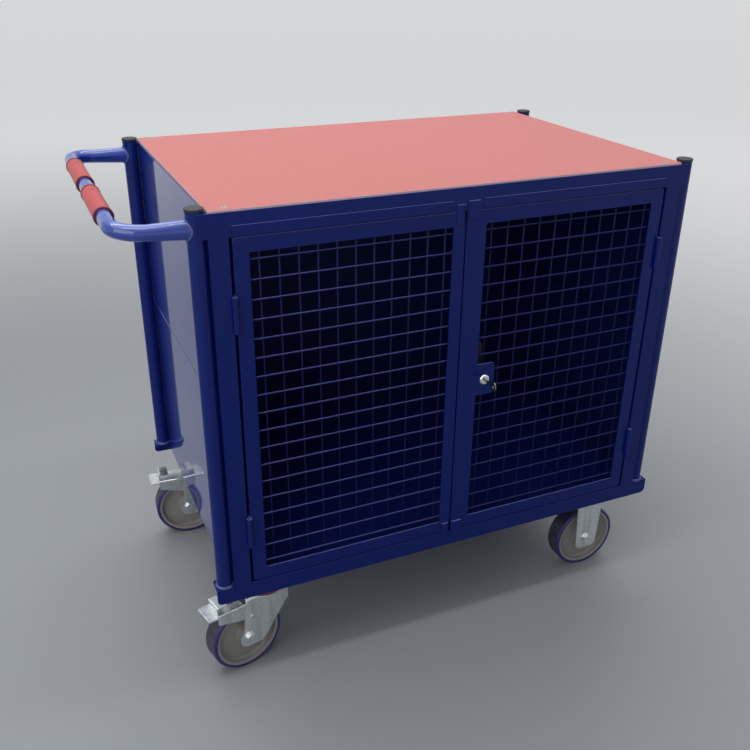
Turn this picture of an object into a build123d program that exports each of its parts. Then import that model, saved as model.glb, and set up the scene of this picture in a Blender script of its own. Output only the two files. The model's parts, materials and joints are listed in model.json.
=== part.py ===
from build123d import *
import math
import os

# Mesh cart: a steel cabinet on four casters, with a laminated worktop, two mesh doors in front,
# a push handle on the left end and sheet-steel sides.
# Millimetres. +Z is up, the doors face -Y and the push handle is on the -X end.
# The origin is on the floor, under the middle of the worktop.

# Overall sizes
CART_H = 1089.0            # floor to worktop surface
CABINET_D = 696.0          # front plane to back plane
BOARD_L = 1050.0           # worktop length
BOARD_T = 12.0
BOARD_CORNER_R = 5.0
BOARD_EDGE_R = 1.2
BOARD_BACK_GAP = 1.0       # worktop edge to the back plane

# Clearances
WELD_GAP = 0.2             # a round tube beside a flat sheet
FIT = 0.05                 # on radius, for a plug, pin or sleeve that stays put
RUN_FIT = 0.06             # on radius, for a pin or shaft that turns or slides
TURN_GAP = 0.3             # flat clearance beside a turning piece
CUT = 1.0                  # how far a cutting tool runs past the faces that it cuts

# Sheet steel
FRAME_T = 2.0              # lintel and stiles
SHEET_T = 1.5              # side, back and floor panels
PANEL_GAP = 2.8            # worktop end to the outer face of the side panel
SEAM_Z = 683.0             # seam between the upper and lower side panels
SEAM_R = 3.0               # outside of the folds that meet at the seam
SEAM_FLANGE = 18.0
LIP_EDGE_R = 1.2           # rounded top edge of the side panels
SHELF_FLANGE = 28.0        # folded edge that carries the worktop
SKIRT = 20.0               # lower side panel past the top of the base

# Base frame
RAIL_H = 38.5
RAIL_D = 40.0
RAIL_T = 3.0
RAIL_LEFT_OVER = 5.0       # rail end past the post
RAIL_RIGHT_OVER = 9.0
RAIL_LEFT_R = 10.0
RAIL_RIGHT_R = 13.0
RAIL_EDGE_R = 2.0
RAIL_FLANGE_R = 8.0        # inner corners of the rail's top flange
END_D = 40.0               # top flange of the end members
END_LEG_IN = 8.0           # upright leg of the end members behind the side panel
MOUNT_OVER_X = 16.0        # mounting plate past the caster plate, towards the middle
MOUNT_OVER_Y = 5.0

# Corner posts
POST_R = 33.7 / 2
POST_WALL = 2.5
CAP_OVER = 0.8             # cap past the post, on radius
CAP_T = 5.0
CAP_EDGE_R = 1.6
CAP_PLUG = 20.0
CAP_WALL = 2.5

# Front frame
LINTEL_H = 46.0
LINTEL_DROP = 4.0          # worktop surface above the lintel
LINTEL_DEPTH = 30.0
STRIP_T = 1.5              # proud strips along the lintel's lower edge
STRIP_H = 21.0
STRIP_EDGE_R = 0.7
STILE_W = 37.3             # stile face, from the side panel to the door opening
JAMB_DEPTH = 30.0

# Doors
HINGE_GAP = 6.0            # door edge to stile
DOOR_GAP = 2.0             # door edge to lintel and base rail
DOOR_SPLIT_X = -7.0        # middle of the gap between the doors
SPLIT_GAP = 4.0
DOOR_D = 30.0
DOOR_T = 3.0
DOOR_BAR = 30.0            # width of the door frame's members
LEFT_LOCK_BAR = 26.0       # inner upright of the left door
RIGHT_LOCK_BAR = 45.0      # inner upright of the right door
DOOR_CORNER_R = 8.0
DOOR_EDGE_R = 2.0

# Welded mesh
WIRE = 4.0
MESH_PITCH_X = 38.5
MESH_PITCH_Z = 40.0
MESH_SHIFT = 3.0           # upright wires right of the middle of their window
MESH_LAP = 8.0             # mesh behind the door frame
MESH_LOCK_GAP = 2.0        # mesh cut away around the lock's nut

# Door stops and the bar in the gap
STOP_T = 3.0
STOP_H = 40.0
STOP_OUT = 15.0            # stop past the door's end
RIGHT_STOP_UP = 21.0       # upper stop of the right door past its top
STOP_EDGE = 0.8
LEFT_STOP_W = 17.0
RIGHT_STOP_W = 26.0
LEFT_STOP_IN = 4.0         # stop from the edge of its door
RIGHT_STOP_IN = 1.0
STRIP_STOP_GAP = 9.0       # lintel strip to the stop beside it
GAP_BAR_T = 2.0
GAP_BAR_DEPTH = 15.0
GAP_BAR_BACK = 3.0         # gap bar behind the door's face
GAP_BAR_END = 25.0         # gap bar short of the door's ends

# Hinges
KNUCKLE_R = 5.5
KNUCKLE_L = 36.0
KNUCKLE_CLEAR = 0.5        # barrel to the corners beside it
HINGE_PIN_R = 3.0
LUG_GAP = 0.5              # welding lug to the middle of the hinge gap
LUG_DEPTH = 15.0
HINGE_UP = 132.0           # lower hinge above the door's lower end
HINGE_DOWN = 147.0         # upper hinge below the door's top

# Lock on the right door
LOCK_IN = 19.0             # lock axis from the upright beside it
LOCK_Z = 653.0
LOCK_PLATE_W = 44.0
LOCK_PLATE_H = 75.0
LOCK_PLATE_R = 7.0
LOCK_ROSE_R = 12.0
LOCK_ROSE_T = 5.0
LOCK_ROSE_EDGE_R = 4.0     # domed towards its rim
LOCK_BODY_R = 9.5
LOCK_NUT_HEX = 24.0        # across flats
LOCK_NUT_T = 5.0
PLUG_R = 6.0
PLUG_RECESS = 0.8
TENON = 7.0
CAM_L = 86.0
CAM_W = 18.0
CAM_T = 3.0
CAM_BEHIND = 2.0           # cam behind the door's rear edge
CAM_SCREW_R = 5.0
CAM_SCREW_T = 3.0
CAM_SCREW_EDGE_R = 1.0
KEY_T = 2.0
KEY_BLADE_W = 7.0
KEY_BLADE_IN = 18.0
KEY_NECK = 24.0
KEY_BOW_R = 11.0
KEY_HOLE_R = 4.0
KEY_HOLE_IN = 8.0          # hole centre from the end of the bow
KEY_FIT = 0.1

# Bolt inside the left door
BOLT_R = 4.0
BOLT_L = 120.0
BOLT_TIP_CHAMFER = 1.0
BOLT_TIP_BELOW = 2.0       # drawn bolt below the door's top
KEEPER_GAP = 1.0           # on radius, in the lintel
GUIDE_WALL = 3.0           # guide around the bolt
GUIDE_FOOT = 6.0           # guide between the bolt and the door
GUIDE_H = 12.0
GUIDE_UP = (8.0, 70.0)     # guides above the bolt's lower end
KNOB_R = 4.0
KNOB_L = 22.0
KNOB_UP = 28.0             # knob above the bolt's lower end

# Push handle
HANDLE_R = 15.0
HANDLE_WALL = 2.5
HANDLE_DROP = 38.0         # worktop surface to the tube centre at the posts
HANDLE_RISE = 11.0         # tube centre at the bar, above the posts
HANDLE_OUT = 140.0         # bar centre past the post centres
HANDLE_BEND_R = 50.0
FLARE_L = 85.0             # flared part of each arm, from the post centre
FLARE_HALF_W = 14.0
FLARE_HALF_H = 19.0
FLARE_LIFT = 4.0           # middle of the flared end above the tube centre
GRIP_WALL = 3.0
GRIP_EDGE_R = 1.5
GRIP_COLLAR = 1.0          # collar past the grip, on radius
GRIP_COLLAR_L = 5.0
GRIP_L = 180.0
GRIP_SPACE = 74.0          # bare tube between the grips
GRIP_SCREW_R = 2.0
GRIP_SCREW_HEAD_R = 3.2
GRIP_SCREW_HEAD_T = 2.0
GRIP_SCREW_BACK = 40.0     # screw from the rear end of its grip

# Worktop screws
SCREW_IN_X = 34.0          # screw from the worktop's ends
SCREW_IN_Y = 19.0          # screw from the front and back planes
SCREW_R = 3.0
SCREW_HEAD_R = 6.5
SCREW_HEAD_H = 3.5
SCREW_SUNK = 0.2           # head below the worktop surface
SCREW_SLOT = 1.2
SCREW_SLOT_L = 6.5
SCREW_SLOT_DEPTH = 1.6
SCREW_TAIL = 6.0
SCREW_HOLE_GAP = 0.3

# Wheels
WHEEL_R = 87.0
TYRE_T = 8.0
TYRE_W = 46.0
TYRE_SHOULDER_R = 6.0
RIM_STEP = 2.0             # rim inside the edge of the tyre
RIM_WALL = 7.0
RIM_LIP = 1.0
WEB_W = 20.0
WEB_DISH = 2.0
WEB_FILLET = 5.0
HUB_R = 23.0
HUB_GAP = 1.0              # hub end to fork leg
HUB_CHAMFER = 2.0
SLEEVE_R = 10.0
AXLE_R = 6.0
AXLE_HEAD_T = 5.0
AXLE_NUT_T = 9.0
AXLE_HEX = 19.0            # across flats
AXLE_TAIL = 2.0
AXLE_WASHER_R = 14.0
AXLE_WASHER_T = 2.0

# Caster plates, forks and bearings
LEG_GAP = 3.0              # tyre to fork leg
CROWN_CLEAR = 22.0         # tyre to fork crown
FORK_T = 4.0
FORK_BEND_R = 12.0
PLATE_L = 140.0
PLATE_W = 110.0
PLATE_T = 4.0
PLATE_CORNER_R = 8.0
PLATE_BOLT_IN_X = 17.5     # bolt from the plate's edge
PLATE_BOLT_IN_Y = 15.0
CASTER_IN_Y = 73.0         # caster centres behind the front plane
SWIVEL_IN_X = 79.5         # swivel axes inside the side panel
FIXED_IN_X = 88.0          # fixed casters inside the side panel
CASTER_BOLT_R = 5.0
CASTER_HOLE_GAP = 0.5
CASTER_HEX = 17.0          # across flats
CASTER_HEAD_T = 6.4
CASTER_NUT_T = 8.0
CASTER_BOLT_TAIL = 3.0
TRAIL = 56.6               # swivel axis to axle
HEAD_R = 50.0              # round swivel head
RACE_TAPER = 5.0
RACE_H = 16.2
SEAL_IN = 1.0              # seal ring inside the edge of the head
SEAL_W = 11.0
SEAL_H = 6.0
KINGPIN_R = 7.0
KINGPIN_HEX = 22.0         # across flats
KINGPIN_NUT_T = 11.0
FRONT_CASTER_TURN = 14.0   # degrees from straight, as parked
REAR_CASTER_TURN = -4.0

# Swivel fork outline
FORK_BACK = 60.0           # from the swivel axis, towards the wheel
FORK_BACK_DROP = 16.5
FORK_FRONT = 48.0          # from the swivel axis, away from the wheel
FORK_FRONT_DROP = 44.5
FORK_NOSE_R = 24.0         # around the axle
FORK_NECK_OUT = 14.5       # from the axle
FORK_NECK_UP = 23.0
FORK_TOE_IN = 35.0

# Fixed fork outline, from the axle
FIXED_TOP_HALF = 39.0
FIXED_FOOT_HALF = 31.0
FIXED_FOOT_DROP = 30.0
FIXED_FOOT_CHAMFER = 10.0

# Brake pedal: lengths from the axle, heights from the top of the tyre
PEDAL_T = 2.0
PEDAL_BEND_R = 4.0         # outside of its folds
PEDAL_GAP = 0.4            # pedal cheek to fork leg
PEDAL_PIN_IN = 10.6        # pivot from the axle, towards the swivel axis
PEDAL_PIN_DOWN = 32.0
PEDAL_PIN_R = 4.0
PEDAL_PIN_HEAD_R = 6.0
PEDAL_PIN_HEAD_T = 1.5
PEDAL_EYE = 10.0           # cheek around the pivot
PEDAL_TOP_UP = 8.0
PEDAL_OUT = 72.0           # lever past the axle
PEDAL_NEAR_DOWN = 36.0     # cheeks below the top of the tyre, beside the fork
PEDAL_FAR_DOWN = 18.0
TREAD_UP = 5.0
TREAD_L = 25.0
TREAD_HALF_W = 28.0
TREAD_T = 3.0
TREAD_CORNER_R = 6.0
LIP_W = 5.0                # raised outer edge of the tread
LIP_H = 2.5
LIP_R = 2.0
RELEASE_L = 25.0           # high tread that releases the brake
RELEASE_HALF_W = 22.0
RELEASE_UP = 25.0
PAD_NEAR = 9.0             # pad past the axle
PAD_FAR = 31.0
PAD_HALF_W = 17.0
PAD_UP = 3.5

# Places worked out from the sizes above
FRONT = -CABINET_D / 2
BACK = CABINET_D / 2
TYRE_TOP = 2 * WHEEL_R
CROWN_LOW = TYRE_TOP + CROWN_CLEAR
CROWN_TOP = CROWN_LOW + FORK_T
SEAL_LOW = CROWN_TOP + TURN_GAP
RACE_LOW = SEAL_LOW + SEAL_H
PLATE_LOW = RACE_LOW + RACE_H
BASE_Z = PLATE_LOW + PLATE_T
BASE_WALL_TOP = BASE_Z + RAIL_T
RAIL_TOP = BASE_Z + RAIL_H
BOARD_Z = CART_H - BOARD_T
PANEL_X = BOARD_L / 2 + PANEL_GAP
PANEL_IN = PANEL_X - SHEET_T
POST_X = PANEL_X + WELD_GAP + POST_R
POST_Y = BACK - FRAME_T - POST_R
RAIL_LEFT = -(POST_X + POST_R + RAIL_LEFT_OVER)
RAIL_RIGHT = POST_X + POST_R + RAIL_RIGHT_OVER
RAIL_IN = BACK - RAIL_D
WEB_IN = BACK - RAIL_T
END_LEG = PANEL_IN - END_LEG_IN
LINTEL_TOP = CART_H - LINTEL_DROP
LINTEL_Z = LINTEL_TOP - LINTEL_H
LINTEL_BACK = FRONT + FRAME_T
PORTAL_HALF = PANEL_X - STILE_W
DOOR_TOP = LINTEL_Z - DOOR_GAP
DOOR_LOW = RAIL_TOP + DOOR_GAP
DOOR_BACK = FRONT + DOOR_D
DOOR_OUTER = PORTAL_HALF - HINGE_GAP
LEFT_DOOR_EDGE = DOOR_SPLIT_X - SPLIT_GAP / 2
RIGHT_DOOR_EDGE = DOOR_SPLIT_X + SPLIT_GAP / 2
LEFT_STOP_X = LEFT_DOOR_EDGE - LEFT_STOP_IN - LEFT_STOP_W
RIGHT_STOP_X = RIGHT_DOOR_EDGE + RIGHT_STOP_IN
HINGE_X = PORTAL_HALF - HINGE_GAP / 2
HINGE_Y = FRONT - math.sqrt((KNUCKLE_R + KNUCKLE_CLEAR) ** 2 - (HINGE_GAP / 2) ** 2)
HINGE_Z = (DOOR_LOW + HINGE_UP, DOOR_TOP - HINGE_DOWN)
LUG_T = HINGE_GAP / 2 - LUG_GAP
MESH_FRONT = FRONT + DOOR_T
LOCK_BAR_X = RIGHT_DOOR_EDGE + RIGHT_LOCK_BAR
LOCK_X = LOCK_BAR_X + LOCK_IN
LOCK_FACE = FRONT - LOCK_ROSE_T
PLUG_FACE = LOCK_FACE + PLUG_RECESS
CAM_Y = DOOR_BACK + CAM_BEHIND
GUIDE_W = 2 * (BOLT_R + GUIDE_WALL)
BOLT_X = LEFT_DOOR_EDGE - DOOR_T - GUIDE_W / 2
BOLT_Y = MESH_FRONT + GUIDE_FOOT + BOLT_R
BOLT_LOW = DOOR_TOP - BOLT_TIP_BELOW - BOLT_L
HANDLE_X = -(POST_X + HANDLE_OUT)
HANDLE_Z = CART_H - HANDLE_DROP
HANDLE_BAR_Z = HANDLE_Z + HANDLE_RISE
GRIP_R = HANDLE_R + GRIP_WALL
SCREW_X = BOARD_L / 2 - SCREW_IN_X
SCREW_Y = BACK - SCREW_IN_Y
RIM_R = WHEEL_R - TYRE_T
LEG_IN = TYRE_W / 2 + LEG_GAP
LEG_OUT = LEG_IN + FORK_T
RIM_HALF = TYRE_W / 2 - RIM_STEP
HUB_HALF = LEG_IN - HUB_GAP
BOLT_HALF_X = PLATE_L / 2 - PLATE_BOLT_IN_X
BOLT_HALF_Y = PLATE_W / 2 - PLATE_BOLT_IN_Y
CASTER_HOLE_R = CASTER_BOLT_R + CASTER_HOLE_GAP
CASTER_Y = BACK - CASTER_IN_Y
SWIVEL_X = -(PANEL_IN - SWIVEL_IN_X)
FIXED_X = PANEL_IN - FIXED_IN_X
PEDAL_PIN_X = -TRAIL + PEDAL_PIN_IN
PEDAL_PIN_Z = TYRE_TOP - PEDAL_PIN_DOWN
CHEEK_OUT = LEG_IN - PEDAL_GAP
CHEEK_IN = CHEEK_OUT - PEDAL_T


# Small helpers

def block(x0, x1, y0, y1, z0, z1):
    """A box between two corners, given in either order."""
    centre = Pos((x0 + x1) / 2, (y0 + y1) / 2, (z0 + z1) / 2)
    return centre * Box(abs(x1 - x0), abs(y1 - y0), abs(z1 - z0))


def rod(start, end, radius):
    """A round bar between two points."""
    run = Vector(*end) - Vector(*start)
    return extrude(Plane(origin=start, z_dir=run) * Circle(radius), amount=run.length)


def upright(place, z0, z1, radius):
    """A round bar along Z."""
    x, y = place
    return rod((x, y, z0), (x, y, z1), radius)


def crossbar(place, y0, y1, radius):
    """A round bar along Y, at a place given in X and Z."""
    x, z = place
    return rod((x, y0, z), (x, y1, z), radius)


def hexagon(start, end, flats):
    """A hexagon bar between two points; flats is its width across flats."""
    run = Vector(*end) - Vector(*start)
    outline = RegularPolygon(flats / 2, 6, major_radius=False)
    return extrude(Plane(origin=start, z_dir=run) * outline, amount=run.length)


def polygon(*corners):
    return make_face(Polyline(*corners, close=True))


def slab(outline, y0, y1):
    """An outline drawn in X and Z, made solid from y0 to y1."""
    plane = Plane(origin=(0, y1, 0), x_dir=(1, 0, 0), z_dir=(0, -1, 0))
    return extrude(plane * outline, amount=y1 - y0)


def edges_along(shape, axis, test):
    """Straight edges along an axis whose centres pass a test."""
    return [edge for edge in shape.edges().filter_by(axis) if test(edge.center())]


# Base frame

def caster_centres():
    """Swivel casters on the handle end, fixed casters on the other."""
    return [(x, side * CASTER_Y) for x in (SWIVEL_X, FIXED_X) for side in (-1, 1)]


def caster_bolt_places():
    return [(x + sx * BOLT_HALF_X, y + sy * BOLT_HALF_Y)
            for x, y in caster_centres() for sx in (-1, 1) for sy in (-1, 1)]


def caster_bolt_holes():
    return [upright(place, PLATE_LOW - CUT, BASE_WALL_TOP + CUT, CASTER_HOLE_R)
            for place in caster_bolt_places()]


def base_rail(side):
    """Angle rail: an upright web with rounded lower corners and a flange that carries the posts."""
    face = side * BACK
    web_in = side * WEB_IN
    web = block(RAIL_LEFT, RAIL_RIGHT, face, web_in, BASE_Z, RAIL_TOP)
    for radius, end in ((RAIL_LEFT_R, -1), (RAIL_RIGHT_R, 1)):
        corner = edges_along(web, Axis.Y, lambda c: c.X * end > 0 and c.Z < RAIL_TOP - CUT)
        web = fillet(corner, radius)
    flange = block(RAIL_LEFT, RAIL_RIGHT, web_in, side * RAIL_IN, RAIL_TOP - RAIL_T, RAIL_TOP)
    flange = fillet(edges_along(flange, Axis.Z, lambda c: abs(c.Y) < WEB_IN - CUT), RAIL_FLANGE_R)
    rail = web + flange
    fold = edges_along(rail, Axis.X, lambda c: abs(c.Y) > BACK - CUT and c.Z > RAIL_TOP - CUT)
    return [fillet(fold, RAIL_EDGE_R)]


def end_members():
    """An angle across each end, its leg set in behind the side panel."""
    members = []
    for side in (-1, 1):
        flange = block(side * (PANEL_IN - END_D), side * PANEL_IN, -RAIL_IN, RAIL_IN,
                       RAIL_TOP - RAIL_T, RAIL_TOP)
        leg = block(side * (END_LEG - RAIL_T), side * END_LEG, -WEB_IN, WEB_IN, BASE_Z, RAIL_TOP - RAIL_T)
        members.append(flange + leg)
    return members


def caster_mounting_plates():
    """Plates between rail and end member that the casters are bolted to."""
    plates = []
    for x, y in caster_centres():
        leg = math.copysign(END_LEG - RAIL_T, x)
        inner = x - math.copysign(PLATE_L / 2 + MOUNT_OVER_X, x)
        web = math.copysign(WEB_IN, y)
        reach = y - math.copysign(PLATE_W / 2 + MOUNT_OVER_Y, y)
        plates.append(block(leg, inner, web, reach, BASE_Z, BASE_WALL_TOP) - caster_bolt_holes())
    return plates


def floor_panel():
    return [block(-PANEL_IN, PANEL_IN, LINTEL_BACK + JAMB_DEPTH, BACK - SHEET_T,
                  RAIL_TOP, RAIL_TOP + SHEET_T)]


# Posts and their caps

def corner_places():
    return [(sx * POST_X, sy * POST_Y) for sx in (-1, 1) for sy in (-1, 1)]


def corner_posts():
    return [upright(place, RAIL_TOP, CART_H, POST_R) - upright(place, RAIL_TOP, CART_H, POST_R - POST_WALL)
            for place in corner_places()]


def post_caps():
    """Plastic caps, each with a hollow plug in its post."""
    plug_r = POST_R - POST_WALL - FIT
    caps = []
    for place in corner_places():
        flange = upright(place, CART_H, CART_H + CAP_T, POST_R + CAP_OVER)
        flange = fillet(flange.edges().sort_by(Axis.Z)[-1], CAP_EDGE_R)
        plug = upright(place, CART_H - CAP_PLUG, CART_H, plug_r)
        caps.append(flange + plug - upright(place, CART_H - CAP_PLUG, CART_H, plug_r - CAP_WALL))
    return caps


# Cabinet

def screw_places():
    return [(sx * SCREW_X, sy * SCREW_Y) for sx in (-1, 1) for sy in (-1, 1)]


def screw_holes():
    return [upright(place, BOARD_Z - SCREW_TAIL, CART_H + CUT, SCREW_R + SCREW_HOLE_GAP)
            for place in screw_places()]


def screw_head(place, gap=0.0):
    """Countersunk head with its rim up to the worktop surface; gap widens it to make its seat."""
    top = CART_H - SCREW_SUNK
    seat = (Align.CENTER, Align.CENTER, Align.MAX)
    cone = Pos(*place, top) * Cone(SCREW_R + gap, SCREW_HEAD_R + gap, SCREW_HEAD_H, align=seat)
    return cone + upright(place, top, CART_H + CUT, SCREW_HEAD_R + gap) if gap else cone


def front_lintel():
    """Folded sheet: a face, a shelf under the worktop and a rebate over the doors."""
    depth = LINTEL_BACK + LINTEL_DEPTH
    face = block(-POST_X, POST_X, FRONT, LINTEL_BACK, LINTEL_Z, LINTEL_TOP)
    shelf = block(-PANEL_IN, PANEL_IN, LINTEL_BACK, depth, BOARD_Z - FRAME_T, BOARD_Z)
    rebate = block(-PANEL_IN, PANEL_IN, LINTEL_BACK, depth, LINTEL_Z, LINTEL_Z + FRAME_T)
    keeper = upright((BOLT_X, BOLT_Y), LINTEL_Z - CUT, LINTEL_Z + FRAME_T + CUT, BOLT_R + KEEPER_GAP)
    return [face + shelf + rebate - keeper - screw_holes()]


def lintel_strips():
    """Two proud strips over the doors, which leave room for the door stops."""
    spans = ((-DOOR_OUTER, LEFT_STOP_X - STRIP_STOP_GAP),
             (RIGHT_STOP_X + RIGHT_STOP_W + STRIP_STOP_GAP, DOOR_OUTER))
    strips = []
    for x0, x1 in spans:
        strip = block(x0, x1, FRONT - STRIP_T, FRONT, LINTEL_Z, LINTEL_Z + STRIP_H)
        proud = edges_along(strip, Axis.X, lambda c: c.Y < FRONT - STRIP_T / 2)
        strips.append(fillet(proud, STRIP_EDGE_R))
    return strips


def front_stiles():
    stiles = []
    for side in (-1, 1):
        face = block(side * PORTAL_HALF, side * PANEL_X, FRONT, LINTEL_BACK, RAIL_TOP, LINTEL_Z)
        jamb = block(side * PORTAL_HALF, side * (PORTAL_HALF + FRAME_T), LINTEL_BACK,
                     LINTEL_BACK + JAMB_DEPTH, RAIL_TOP, LINTEL_Z)
        stiles.append(face + jamb)
    return stiles


def side_panel(side, upper):
    """Outer sheet, folded in at the seam; the upper one frames the worktop, the lower one laps the base."""
    low, high = (SEAM_Z, LINTEL_TOP) if upper else (RAIL_TOP, SEAM_Z)
    back = BACK - SHEET_T
    inside = SEAM_Z + SHEET_T if upper else SEAM_Z - SHEET_T
    sheet = block(side * PANEL_IN, side * PANEL_X, LINTEL_BACK, back, low, high)
    panel = sheet + block(side * (PANEL_X - SEAM_FLANGE), side * PANEL_X, LINTEL_BACK, back, SEAM_Z, inside)
    near = SHEET_T / 2
    fold = edges_along(panel, Axis.Y, lambda c: abs(c.X) > PANEL_X - near and abs(c.Z - SEAM_Z) < near)
    panel = fillet(fold, SEAM_R)
    crease = edges_along(panel, Axis.Y,
                         lambda c: abs(abs(c.X) - PANEL_IN) < near and abs(c.Z - inside) < near)
    panel = fillet(crease, SEAM_R - SHEET_T)
    if upper:
        lip = edges_along(panel, Axis.Y, lambda c: abs(c.X) > PANEL_X - near and c.Z > LINTEL_TOP - near)
        return [fillet(lip, LIP_EDGE_R)
                + block(side * (PANEL_X - SHELF_FLANGE), side * PANEL_IN,
                        LINTEL_BACK + LINTEL_DEPTH, back - SHELF_FLANGE, BOARD_Z - SHEET_T, BOARD_Z)]
    return [panel + block(side * PANEL_IN, side * PANEL_X, -RAIL_IN, RAIL_IN, RAIL_TOP - SKIRT, RAIL_TOP)]


def back_panel():
    inner = BACK - SHEET_T
    sheet = block(-PANEL_X, PANEL_X, inner, BACK, RAIL_TOP, BOARD_Z)
    shelf = block(-PANEL_IN, PANEL_IN, inner - SHELF_FLANGE, inner, BOARD_Z - SHEET_T, BOARD_Z)
    return [sheet + shelf - screw_holes()]


def top_board():
    board = block(-BOARD_L / 2, BOARD_L / 2, LINTEL_BACK, BACK - BOARD_BACK_GAP, BOARD_Z, CART_H)
    board = fillet(board.edges().filter_by(Axis.Z), BOARD_CORNER_R)
    board = fillet(board.faces().sort_by(Axis.Z)[-1].edges(), BOARD_EDGE_R)
    return [board - screw_holes() - [screw_head(place, FIT) for place in screw_places()]]


def board_screws():
    """Countersunk screws with a cross slot."""
    screws = []
    top = CART_H - SCREW_SUNK
    for place in screw_places():
        screw = screw_head(place) + upright(place, BOARD_Z - SCREW_TAIL, top, SCREW_R)
        for across in (0, 90):
            slot = Box(SCREW_SLOT_L, SCREW_SLOT, 2 * SCREW_SLOT_DEPTH, rotation=(0, 0, across))
            screw = screw - Pos(*place, top) * slot
        screws.append(screw)
    return screws


# Push handle

def grip_spans():
    near = GRIP_SPACE / 2
    return {"front_grip": (-near - GRIP_L, -near), "rear_grip": (near, near + GRIP_L)}


def grip_screws(gap=0.0):
    """Screws from the top of each grip into the tube; gap widens them to make their holes."""
    top = HANDLE_BAR_Z + GRIP_R
    tip = HANDLE_BAR_Z + HANDLE_R - 2 * HANDLE_WALL
    screws = []
    for start, end in grip_spans().values():
        place = (HANDLE_X, end - GRIP_SCREW_BACK)
        head = upright(place, top - GRIP_SCREW_HEAD_T, top, GRIP_SCREW_HEAD_R + gap)
        screws.append(head + upright(place, tip, top, GRIP_SCREW_R + gap))
    return screws


def handle_tube(wall):
    """The handle as a solid bar, a wall's thickness inside its outer face."""
    arm = Vector(HANDLE_X + POST_X, 0, HANDLE_RISE)
    posts = [Vector(-POST_X, side * POST_Y, HANDLE_Z) for side in (-1, 1)]
    necks = [post + arm.normalized() * FLARE_L for post in posts]
    corners = [post + arm for post in posts]
    path = FilletPolyline(necks[0], *corners, necks[1], radius=HANDLE_BEND_R)
    bar = sweep(Plane(origin=necks[0], z_dir=arm) * Circle(HANDLE_R - wall), path=path)
    for post, neck in zip(posts, necks):
        at_post, at_neck = [Plane(origin=place, x_dir=(0, -1, 0), z_dir=arm) for place in (post, neck)]
        flared = at_post * Pos(0, FLARE_LIFT) * Ellipse(FLARE_HALF_W - wall, FLARE_HALF_H - wall)
        bar = bar + loft([flared, at_neck * Circle(HANDLE_R - wall)])
    return bar


def push_handle():
    """One bent tube, its arms pressed taller towards the two left posts and shaped to them."""
    outside, inside = handle_tube(0), handle_tube(HANDLE_WALL)
    tube = outside - inside - grip_screws(FIT)
    for side in (-1, 1):
        tube = tube - upright((-POST_X, side * POST_Y), RAIL_TOP, CART_H, POST_R)
    return [max(tube.solids(), key=lambda solid: solid.volume)]


def handle_grip(span):
    """Grip sleeve with a collar at each end."""
    start, end = span
    bar = (HANDLE_X, HANDLE_BAR_Z)
    sleeve = crossbar(bar, start, end, GRIP_R)
    for collar in (start, end - GRIP_COLLAR_L):
        sleeve = sleeve + crossbar(bar, collar, collar + GRIP_COLLAR_L, GRIP_R + GRIP_COLLAR)
    faces = sleeve.faces().filter_by(Axis.Y).sort_by(Axis.Y)
    sleeve = fillet(faces[0].edges() + faces[-1].edges(), GRIP_EDGE_R)
    return [sleeve - crossbar(bar, start - CUT, end + CUT, HANDLE_R + FIT) - grip_screws(FIT)]


# Hinges

def hinge_half(side, z0, z1, on_door, bore):
    """Barrel with a welding lug that lies in the gap, on the door's or the stile's edge."""
    axis = (side * HINGE_X, HINGE_Y)
    edge = side * (DOOR_OUTER if on_door else PORTAL_HALF)
    towards = side if on_door else -side
    lug = block(edge, edge + towards * LUG_T, HINGE_Y, FRONT + LUG_DEPTH, z0, z1)
    return upright(axis, z0, z1, KNUCKLE_R) + lug - upright(axis, z0, z1, bore)


def frame_hinge_leaves():
    return [hinge_half(side, z - KNUCKLE_L, z, False, HINGE_PIN_R + FIT)
            for side in (-1, 1) for z in HINGE_Z]


def door_hinge_leaves(side):
    return [hinge_half(side, z + TURN_GAP, z + TURN_GAP + KNUCKLE_L, True, HINGE_PIN_R + RUN_FIT)
            for z in HINGE_Z]


def hinge_pins():
    return [upright((side * HINGE_X, HINGE_Y), z - KNUCKLE_L, z + KNUCKLE_L, HINGE_PIN_R)
            for side in (-1, 1) for z in HINGE_Z]


# Doors

def door_edges(side):
    return (-DOOR_OUTER, LEFT_DOOR_EDGE) if side < 0 else (RIGHT_DOOR_EDGE, DOOR_OUTER)


def door_window(side):
    x0, x1 = door_edges(side)
    return (x0 + DOOR_BAR, x1 - LEFT_LOCK_BAR) if side < 0 else (LOCK_BAR_X, x1 - DOOR_BAR)


def door_frame(side):
    """Angle-steel frame: a face around the window and a folded edge around the outside."""
    x0, x1 = door_edges(side)
    frame = block(x0, x1, FRONT, DOOR_BACK, DOOR_LOW, DOOR_TOP)
    frame = fillet(frame.edges().filter_by(Axis.Y), DOOR_CORNER_R)
    frame = fillet(frame.faces().sort_by(Axis.Y)[0].edges(), DOOR_EDGE_R)
    room = block(x0 + DOOR_T, x1 - DOOR_T, MESH_FRONT, DOOR_BACK, DOOR_LOW + DOOR_T, DOOR_TOP - DOOR_T)
    room = fillet(room.edges().filter_by(Axis.Y), DOOR_CORNER_R - DOOR_T)
    window = block(*door_window(side), FRONT, MESH_FRONT, DOOR_LOW + DOOR_BAR, DOOR_TOP - DOOR_BAR)
    frame = frame - room - window
    if side < 0:
        frame = frame - upright((BOLT_X, BOLT_Y), DOOR_TOP - DOOR_T - CUT, DOOR_TOP + CUT, BOLT_R + TURN_GAP)
    return [frame]


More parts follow.
